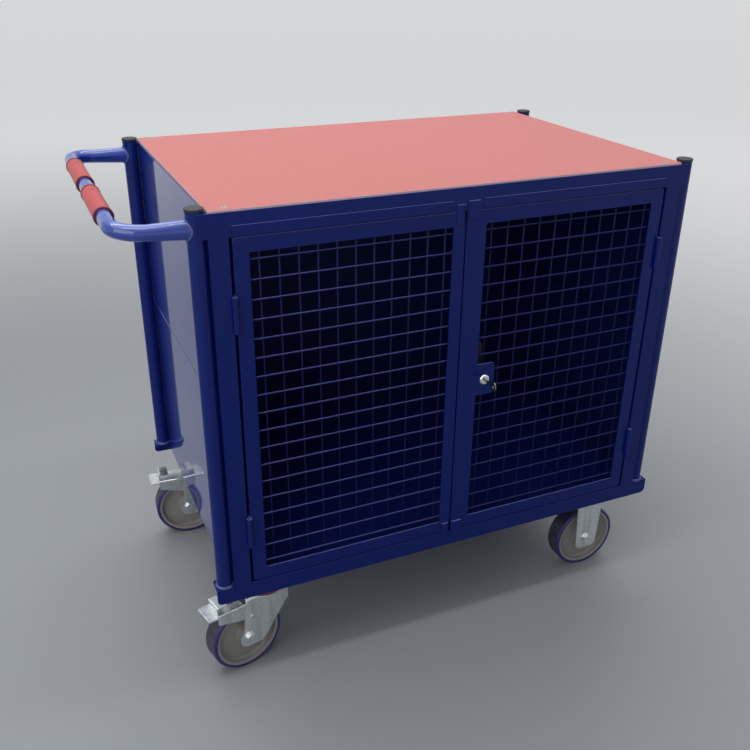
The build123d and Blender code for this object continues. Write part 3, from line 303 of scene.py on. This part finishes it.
def blue_tube(name, colour, highlight_colour, gloss, coat):
    """The same paint on round tubes, where it flowed out glossier, in a colour given for each tube, with a paler
    painted highlight along the top.
    """
    finish = Finish(name)
    tube_blue = finish.shade(colour, amount=0.08, scale=7)
    tube_highlight = finish.shade(highlight_colour, amount=0.12, scale=60)
    return finish.surface(Base_Color=finish.mix(finish.upward(level=0.72, blur=0.26), tube_blue, tube_highlight),
                          Roughness=finish.uneven(0.06, spread=0.05, scale=30), Specular_IOR_Level=gloss,
                          Coat_Weight=coat, Coat_Roughness=0.05, Coat_IOR=1.8,
                          Normal=finish.grain(scale=260, depth=0.02 * MM, strength=0.4, detail=1.0))


def blue_wire(name, dust_and_highlight):
    """Thin paint on the mesh, painted dark as shade for the dim upright wires, with a paler painted highlight on
    the tops of the level wires.
    """
    finish = Finish(name)
    base_blue = finish.shade(WIRE_SHADED_BLUE, amount=0.15, scale=90)
    highlighted = finish.shade(dust_and_highlight, amount=0.2, scale=60)
    return finish.surface(Base_Color=finish.mix(finish.upward(level=0.35, blur=0.35), base_blue, highlighted),
                          Roughness=finish.uneven(0.3, spread=0.1, scale=200), Specular_IOR_Level=0.1)


def blue_weld():
    """Paint on the ripples of a weld, made pale as a painted highlight for the light they catch."""
    finish = Finish("blue_weld")
    return finish.surface(Base_Color=finish.shade(WELD_HIGHLIGHT_BLUE, amount=0.3, scale=160),
                          Roughness=finish.uneven(0.28, spread=0.15, scale=220),
                          Normal=finish.grain(scale=500, depth=0.15 * MM, strength=0.6))


def blue_sheet():
    """Cabinet sheet: glossy and a little wavy on its outer face, dull on its inner face and painted dark there for
    the shade inside the cabinet.
    """
    finish = Finish("blue_sheet")
    level = finish.vector("MULTIPLY", finish.place(), (1, 1, 0))
    outward = finish.vector("DOT_PRODUCT", level, finish.facing(), output="Value")
    outside = outward.above(0.05, blur=0.03)
    inner_shade = finish.shade(SHEET_INNER_SHADE, amount=0.2, scale=5)
    outer = finish.shade(SHEET_OUTER, amount=0.10, scale=7)
    return finish.surface(Base_Color=finish.mix(outside, inner_shade, outer), Coat_Weight=outside,
                          Coat_Roughness=0.05, Coat_IOR=1.5,
                          Roughness=finish.uneven(0.4, spread=0.1, scale=30), Specular_IOR_Level=0.1,
                          Normal=finish.grain(scale=4, depth=0.05 * MM, detail=1.0))


def blue_floor():
    """Thin, dull paint on the cabinet's floor."""
    finish = Finish("blue_floor")
    return finish.surface(Base_Color=finish.shade(CABINET_FLOOR_BLUE, amount=0.15, scale=6),
                          Roughness=finish.uneven(0.46, spread=0.12, scale=18), Specular_IOR_Level=0.2,
                          Normal=finish.grain(scale=420, depth=0.05 * MM, strength=0.6, detail=1.0))


def pink_laminate():
    """Worktop laminate with fine speckle, and a paler colour on the faces that don't face up, the board's edges.
    """
    finish = Finish("pink_laminate")
    top = finish.shade(LAMINATE_PINK, amount=0.03, scale=2600)
    edge = finish.shade(BOARD_EDGE, amount=0.05, scale=900)
    return finish.surface(Base_Color=finish.mix(finish.upward(level=0.8, blur=0.1), edge, top),
                          Roughness=finish.uneven(0.34, spread=0.10, scale=60), Specular_IOR_Level=0.2,
                          Normal=finish.grain(scale=1800, depth=0.03 * MM, strength=0.5))


def grip_red(low, high):
    """Moulded red grip, painted darker at the collars at its ends for their shade; the ends lie at two places
    along Y.
    """
    finish = Finish("grip_red")
    away = (finish.along(finish.place(), "Y") - (low + high) / 2).math("ABSOLUTE")
    collar = away.above((high - low) / 2 - COLLAR_L, blur=0.3 * MM)
    red = finish.shade(GRIP_RED, amount=0.08, scale=160)
    return finish.surface(Base_Color=finish.mix(collar, red, (*COLLAR_SHADE_RED, 1)),
                          Roughness=finish.uneven(0.38, spread=0.14, scale=240),
                          Normal=finish.grain(scale=1400, depth=0.05 * MM, strength=0.6))


def cap_black():
    """Moulded black plastic of the post caps."""
    finish = Finish("cap_black")
    return finish.surface(Base_Color=finish.shade(CAP_BLACK, amount=0.3, scale=220),
                          Roughness=finish.uneven(0.42, spread=0.16, scale=400),
                          Normal=finish.grain(scale=2200, depth=0.04 * MM, strength=0.7))


def zinc_plate():
    """Bright zinc with a faint spangle, and streaks where it drained."""
    finish = Finish("zinc_plate")
    cells = finish.node("TexVoronoi", None, {"Vector": finish.place(), "Scale": 320.0}, output="Color")
    drawn = finish.vector("MULTIPLY", finish.place(), (1, 1, 0.1))
    streaks = finish.noise(70.0, place=drawn).above(0.5, blur=0.25)
    spangle = finish.along(cells, "X") * SPANGLE_SHARE + streaks * (1 - SPANGLE_SHARE)
    return finish.surface(Base_Color=finish.mix(spangle, (*ZINC_DULL, 1), (*ZINC_BRIGHT, 1)), Metallic=1.0,
                          Roughness=finish.uneven(0.22, spread=0.12, scale=70),
                          Normal=finish.grain(scale=240, depth=0.004 * MM, strength=0.3, detail=1.0))


def dark_steel():
    """Blackened steel, rubbed brighter in patches."""
    finish = Finish("dark_steel")
    return finish.surface(Base_Color=finish.shade(STEEL_BLACK, amount=0.35, scale=120), Metallic=0.7,
                          Roughness=finish.uneven(0.38, spread=0.16, scale=260),
                          Normal=finish.grain(scale=1100, depth=0.03 * MM, strength=0.5))


def polished_chrome():
    """Chrome of the lock's housing and plug."""
    finish = Finish("polished_chrome")
    return finish.surface(Base_Color=finish.shade(CHROME, amount=0.03, scale=300), Metallic=1.0,
                          Roughness=finish.uneven(0.08, spread=0.05, scale=500))


def key_nickel():
    """Handled nickel of the key."""
    finish = Finish("key_nickel")
    return finish.surface(Base_Color=finish.shade(NICKEL, amount=0.10, scale=400), Metallic=1.0,
                          Roughness=finish.uneven(0.24, spread=0.12, scale=700))


def seal_red():
    """Dull red plastic of the swivel seals."""
    finish = Finish("seal_red")
    return finish.surface(Base_Color=finish.shade(SEAL_RED, amount=0.1, scale=300),
                          Roughness=finish.uneven(0.48, spread=0.1, scale=300))


def from_axle(finish, centre, axis):
    """Distance of a surface point from an axle, and its place along the axle."""
    offset = finish.vector("SUBTRACT", finish.place(), centre)
    square = finish.vector("DOT_PRODUCT", offset, offset, output="Value")
    along = finish.vector("DOT_PRODUCT", offset, axis, output="Value")
    return (square - along * along).math("SQRT"), along


def wheel_grey(name, centre, axis):
    """Moulded wheel centre with a lighter band at the rim."""
    finish = Finish(name)
    radius, _ = from_axle(finish, centre, axis)
    band = radius.above(RIM_R, blur=0.6 * MM)
    grey = finish.shade(WHEEL_GREY, amount=0.07, scale=60)
    return finish.surface(Base_Color=finish.mix(band, grey, (*RIM_GREY, 1)),
                          Roughness=finish.uneven(0.46, spread=0.12, scale=200),
                          Normal=finish.grain(scale=1200, depth=0.04 * MM, strength=0.6))


def tyre_blue(name, centre, axis):
    """Elastic tyre with violet shoulders, scuffed dark and dusty where it rolls."""
    finish = Finish(name)
    radius, along = from_axle(finish, centre, axis)
    rolled = 1 - along.math("ABSOLUTE").above(TREAD_HALF_W, blur=1.5 * MM)
    tread = radius.above(TREAD_R, blur=0.9 * MM) * rolled
    dust_and_highlight = tread * finish.noise(45, detail=4.0).above(0.55, blur=0.2) * 0.35
    rubber = finish.shade(TYRE_VIOLET, amount=0.12, scale=80)
    scuffed = finish.mix(tread * 0.85, rubber, (*TREAD_SCUFF, 1))
    return finish.surface(Base_Color=finish.mix(dust_and_highlight, scuffed, (*TREAD_DUST, 1)),
                          Roughness=0.44 + dust_and_highlight * 0.3,
                          Normal=finish.grain(scale=1500, depth=0.05 * MM, strength=0.7))


# Modelling helpers

def deselect():
    bpy.ops.object.select_all(action="DESELECT")


def pick(piece):
    """Make a piece the only selected object."""
    deselect()
    piece.select_set(True)
    bpy.context.view_layer.objects.active = piece


def settle(piece):
    """Apply a piece's place, turn and size to its mesh."""
    pick(piece)
    bpy.ops.object.transform_apply(location=True, rotation=True, scale=True)


def clear_mesh_selection(kind):
    """Leave nothing selected in the active piece's mesh, ready to select faces or corners in code."""
    bpy.ops.object.mode_set(mode="EDIT")
    bpy.ops.mesh.select_mode(type=kind)
    bpy.ops.mesh.select_all(action="DESELECT")
    bpy.ops.object.mode_set(mode="OBJECT")


def copy_at(piece, offset):
    """A copy of a piece with its own mesh, moved in the mesh."""
    twin = piece.copy()
    twin.data = piece.data.copy()
    bpy.context.collection.objects.link(twin)
    twin.data.transform(Matrix.Translation(offset))
    return twin


def mirrored(piece, axis):
    """A copy of a piece on the other side of the cart, along X (0) or Y (1)."""
    twin = copy_at(piece, (0, 0, 0))
    flip = Vector((1, 1, 1))
    flip[axis] = -1
    twin.data.transform(Matrix.Diagonal(flip).to_4x4())
    twin.data.flip_normals()
    return twin


def joined(pieces, name):
    """Several pieces as one named object."""
    deselect()
    for piece in pieces:
        piece.select_set(True)
    bpy.context.view_layer.objects.active = pieces[0]
    bpy.ops.object.join()
    pieces[0].name = name
    return pieces[0]


def finished(piece, material, body):
    """Smooth a piece, paint it and let it ride on a body."""
    pick(piece)
    bpy.ops.object.shade_smooth_by_angle(angle=SMOOTH_ANGLE)
    piece.data.materials.clear()
    piece.data.materials.append(material)
    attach(piece, body)
    return piece


# Door meshes

def wire(start, end):
    """A round wire with bevelled ends, between two points on a row axis."""
    run = Vector(end) - Vector(start)
    deselect()
    bpy.ops.mesh.primitive_cylinder_add(vertices=WIRE_SIDES, radius=WIRE_R, depth=run.length,
                                        location=(Vector(start) + Vector(end)) / 2,
                                        rotation=run.to_track_quat("Z", "Y").to_euler())
    piece = bpy.context.object
    settle(piece)
    clear_mesh_selection("FACE")
    for face in piece.data.polygons:
        face.select = len(face.vertices) == WIRE_SIDES
    bpy.ops.object.mode_set(mode="EDIT")
    bpy.ops.mesh.bevel(offset=WIRE_END, segments=WIRE_END_STEPS)
    bpy.ops.object.mode_set(mode="OBJECT")
    return piece


def wire_places(low, high, pitch, shift=0.0):
    """Wires at a pitch, about the middle of a window."""
    count = int((high - low) / pitch + ROUNDING) + 1
    first = (low + high - (count - 1) * pitch) / 2 + shift
    return [first + i * pitch for i in range(count)]


def level_wires(low_x, high_x, y, heights):
    """One level wire, and a copy of it at each of the other heights."""
    first = wire((low_x, y, heights[0]), (high_x, y, heights[0]))
    return [first, *[copy_at(first, (0, 0, z - heights[0])) for z in heights[1:]]]


def upright_wires(low_z, high_z, y, columns):
    """One upright wire, and a copy of it at each of the other places along X."""
    first = wire((columns[0], y, low_z), (columns[0], y, high_z))
    return [first, *[copy_at(first, (x - columns[0], 0, 0)) for x in columns[1:]]]


def round_mesh(door, cut=None):
    """Welded mesh of a door: level wires in front and upright wires behind them.

    cut is the lock's place in X and Z, where the wires stop short.
    """
    low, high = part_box(door + "_mesh")
    front_y = low.y + WIRE_R
    rear_y = front_y + 2 * WIRE_R - WIRE_SINK
    columns = wire_places(low.x + MESH_LAP, high.x - MESH_LAP, MESH_PITCH_X, MESH_SHIFT)
    columns = [low.x + WIRE_R, *columns, high.x - WIRE_R]
    rows = wire_places(low.z + MESH_LAP, high.z - MESH_LAP, MESH_PITCH_Z)
    cut_rows = [z for z in rows if cut and abs(z - cut[1]) < LOCK_ROOM]
    cut_columns = [x for x in columns if cut and x < cut[0] + LOCK_ROOM]
    wires = level_wires(low.x, high.x, front_y, [z for z in rows if z not in cut_rows])
    wires += upright_wires(low.z, high.z, rear_y, [x for x in columns if x not in cut_columns])
    if cut_rows:
        wires += level_wires(cut[0] + LOCK_ROOM, high.x, front_y, cut_rows)
    if cut_columns:
        wires += upright_wires(low.z, cut[1] - LOCK_ROOM, rear_y, cut_columns)
        wires += upright_wires(cut[1] + LOCK_ROOM, high.z, rear_y, cut_columns)
    return joined(wires, door + "_wires")


# Welds

def rippled_ring(radius, bead):
    """A weld bead around the origin, level, with the ripples of its passes."""
    deselect()
    bpy.ops.mesh.primitive_torus_add(major_radius=radius, minor_radius=bead, major_segments=BEAD_STEPS,
                                     minor_segments=BEAD_SIDES)
    piece = bpy.context.object
    clear_mesh_selection("VERT")
    for vertex in piece.data.vertices:
        step = round(math.atan2(vertex.co.y, vertex.co.x) / (2 * math.pi) * BEAD_STEPS)
        vertex.select = step % 2 == 0
    bpy.ops.object.mode_set(mode="EDIT")
    bpy.ops.transform.shrink_fatten(value=-RIPPLE)
    bpy.ops.object.mode_set(mode="OBJECT")
    return piece


def foot_weld():
    """The bead around the foot of the right front post, cut off at the side panel."""
    piece = rippled_ring(FOOT_RING, FOOT_BEAD)
    piece.location = (POST_X, -POST_Y, RAIL_TOP + FOOT_UP)
    settle(piece)
    for vertex in piece.data.vertices:
        vertex.co.y = max(vertex.co.y, -RAIL_FACE)
    bpy.ops.object.mode_set(mode="EDIT")
    bpy.ops.mesh.select_all(action="SELECT")
    bpy.ops.mesh.bisect(plane_co=(PANEL_X, 0, 0), plane_no=(1, 0, 0), use_fill=True, clear_inner=True)
    bpy.ops.object.mode_set(mode="OBJECT")
    return piece


def arm_weld():
    """The bead around the front arm of the handle, laid along the side of its post."""
    piece = rippled_ring(ARM_HALF_H, ARM_BEAD)
    piece.scale = (1, ARM_HALF_W / ARM_HALF_H, 1)
    piece.rotation_euler = (0, math.radians(90), 0)
    settle(piece)
    for vertex in piece.data.vertices:
        across = min(abs(vertex.co.y), POST_R * ARM_WRAP)
        vertex.co.x -= math.sqrt(POST_R ** 2 - across ** 2)
    piece.location = (-POST_X, -POST_Y, ARM_Z)
    settle(piece)
    return piece


def welds():
    """Every bead on the cart's body, as one piece."""
    foot = foot_weld()
    front = [foot, mirrored(foot, 0), arm_weld()]
    return joined([*front, *[mirrored(bead, 1) for bead in front]], "weld_beads")


# The cart's finishes, node by node

def paint(material, *names):
    for name in names:
        mesh = nodes[name].data
        mesh.materials.clear()
        mesh.materials.append(material)


def slot_nodes(slot):
    return [part["node"] for part in frame["record"]["subparts"] if part["material_slot"] == slot]


paint(blue_powder_coat("blue_powder_coat", EDGE_HIGHLIGHT), *slot_nodes("blue_paint"))
paint(blue_powder_coat("rail_blue", RAIL_EDGE_HIGHLIGHT), "front_base_rail", "rear_base_rail")
paint(blue_tube("handle_blue", HANDLE_LIT_BLUE, HANDLE_HIGHLIGHT, gloss=0.55, coat=0.38), "push_handle")
paint(blue_tube("post_blue", POST_BLUE, POST_BLUE, gloss=0.19, coat=0.0), "corner_posts")
paint(blue_sheet(), "back_panel", *[side + sheet for side in ("left_", "right_")
                                    for sheet in ("upper_panel", "lower_panel")])
paint(blue_floor(), "floor_panel")
paint(zinc_plate(), *slot_nodes("zinc_plate"))
paint(dark_steel(), "lock_cam", "grip_screws")
paint(pink_laminate(), "top_board")
paint(cap_black(), "post_caps")
paint(seal_red(), "swivel_seals")
paint(polished_chrome(), *slot_nodes("lock_chrome"))
paint(key_nickel(), "door_key")

for grip in ("front_grip", "rear_grip"):
    grip_low, grip_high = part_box(grip)
    paint(grip_red(grip_low.y, grip_high.y), grip)

for joint in frame["joints"]:
    if joint["name"].endswith("_wheel_spin"):
        stem = joint["child"].removesuffix("_wheel")
        paint(wheel_grey(stem + "_wheel_grey", joint["pos_m"], joint["axis"]), stem + "_wheel")
        paint(tyre_blue(stem + "_tyre_blue", joint["pos_m"], joint["axis"]), stem + "_tyre")

lock_low, lock_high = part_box("lock_plug")
lock_place = ((lock_low.x + lock_high.x) / 2, (lock_low.z + lock_high.z) / 2)
for door, lock_cut, dust_and_highlight in (("left_door", None, LEFT_WIRE_HIGHLIGHT),
                             ("right_door", lock_place, RIGHT_WIRE_HIGHLIGHT)):
    net = finished(round_mesh(door, lock_cut), blue_wire(door + "_wire_blue", dust_and_highlight), door)
    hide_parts(door + "_mesh")

finished(welds(), blue_weld(), "cart_body")


# Studio

def studio_floor():
    """A wide floor, darker around the cart and as pale as the backdrop far away."""
    deselect()
    bpy.ops.mesh.primitive_plane_add(size=FLOOR_SIDE)
    floor = bpy.context.object
    floor.name = "studio_floor"
    finish = Finish("studio_floor")
    away = finish.vector("DISTANCE", finish.place(), FLOOR_MIDDLE, output="Value")
    far = away.above(FLOOR_PALER_AT, FLOOR_PALER_BLUR)
    glow = finish.shown() * away.above(FLOOR_GLOW_AT, FLOOR_GLOW_BLUR)
    floor.data.materials.append(finish.surface(
        Base_Color=finish.mix(far, FLOOR_NEAR, FLOOR_FAR), Roughness=FLOOR_ROUGHNESS,
        Emission_Color=finish.mix(glow, (0, 0, 0, 1), FLOOR_GLOW), Emission_Strength=1.0))


def studio_sky():
    """Soft light from all round, with a pale backdrop and a white ceiling to look at."""
    world = bpy.data.worlds.new("studio_sky")
    world.use_nodes = True
    sky = Shading(world.node_tree)
    height = sky.along(sky.node("TexCoord", output="Generated"), "Z")
    overhead = sky.node("LightPath", output="Is Glossy Ray") * height.above(CEILING_AT, CEILING_BLUR)
    wall = sky.mix(height.above(SKY_AT, SKY_BLUR), HORIZON_SHOWN, SKY_SHOWN)
    backdrop = sky.mix(overhead, wall, CEILING_SHOWN)
    sky.plug(world.node_tree.nodes["Background"].inputs["Color"], sky.mix(sky.shown(), SKY_LIGHT, backdrop))
    bpy.context.scene.world = world


def soft_lamp(name, place, target, size, power):
    """An area lamp of a size and a power in watts, turned towards a target."""
    light = bpy.data.lights.new(name, "AREA")
    light.shape = "RECTANGLE"
    light.size, light.size_y = size
    light.energy = power
    lamp = bpy.data.objects.new(name, light)
    bpy.context.collection.objects.link(lamp)
    lamp.location = place
    lamp.rotation_euler = (Vector(target) - Vector(place)).to_track_quat("-Z", "Y").to_euler()


def photo_camera():
    """The camera at the photograph's place, turn and focal length."""
    level = math.cos(CAMERA_PITCH)
    ahead = Vector((math.sin(CAMERA_YAW) * level, math.cos(CAMERA_YAW) * level, -math.sin(CAMERA_PITCH)))
    right = Vector((math.cos(CAMERA_YAW), -math.sin(CAMERA_YAW), 0))
    turn = Matrix((right, right.cross(ahead), -ahead)).transposed() @ Matrix.Rotation(CAMERA_ROLL, 3, "Z")
    lens = bpy.data.cameras.new("photo_camera")
    lens.sensor_width = SENSOR
    lens.lens = PHOTO_FOCAL / PHOTO_SIDE * SENSOR
    camera = bpy.data.objects.new("photo_camera", lens)
    bpy.context.collection.objects.link(camera)
    camera.matrix_world = Matrix.Translation(CAMERA_PLACE) @ turn.to_4x4()
    bpy.context.scene.camera = camera


studio_floor()
studio_sky()
soft_lamp("ceiling_light", place=(-0.4, 0.6, 3.6), target=(0, 0.2, 0.8), size=(4.5, 4.0), power=68)
soft_lamp("front_ceiling_strip", place=(0.2, -0.6, 3.4), target=(0.2, -0.3, 0.8), size=(5.0, 0.25), power=20)
soft_lamp("rear_ceiling_strip", place=(0.2, 1.5, 3.4), target=(0.2, 0.3, 0.8), size=(5.0, 0.25), power=25)
soft_lamp("window_light", place=(-3.4, -2.1, 2.4), target=(-0.4, 0, 0.6), size=(4.5, 2.4), power=58)
photo_camera()
bpy.context.scene.view_settings.view_transform = "Standard"
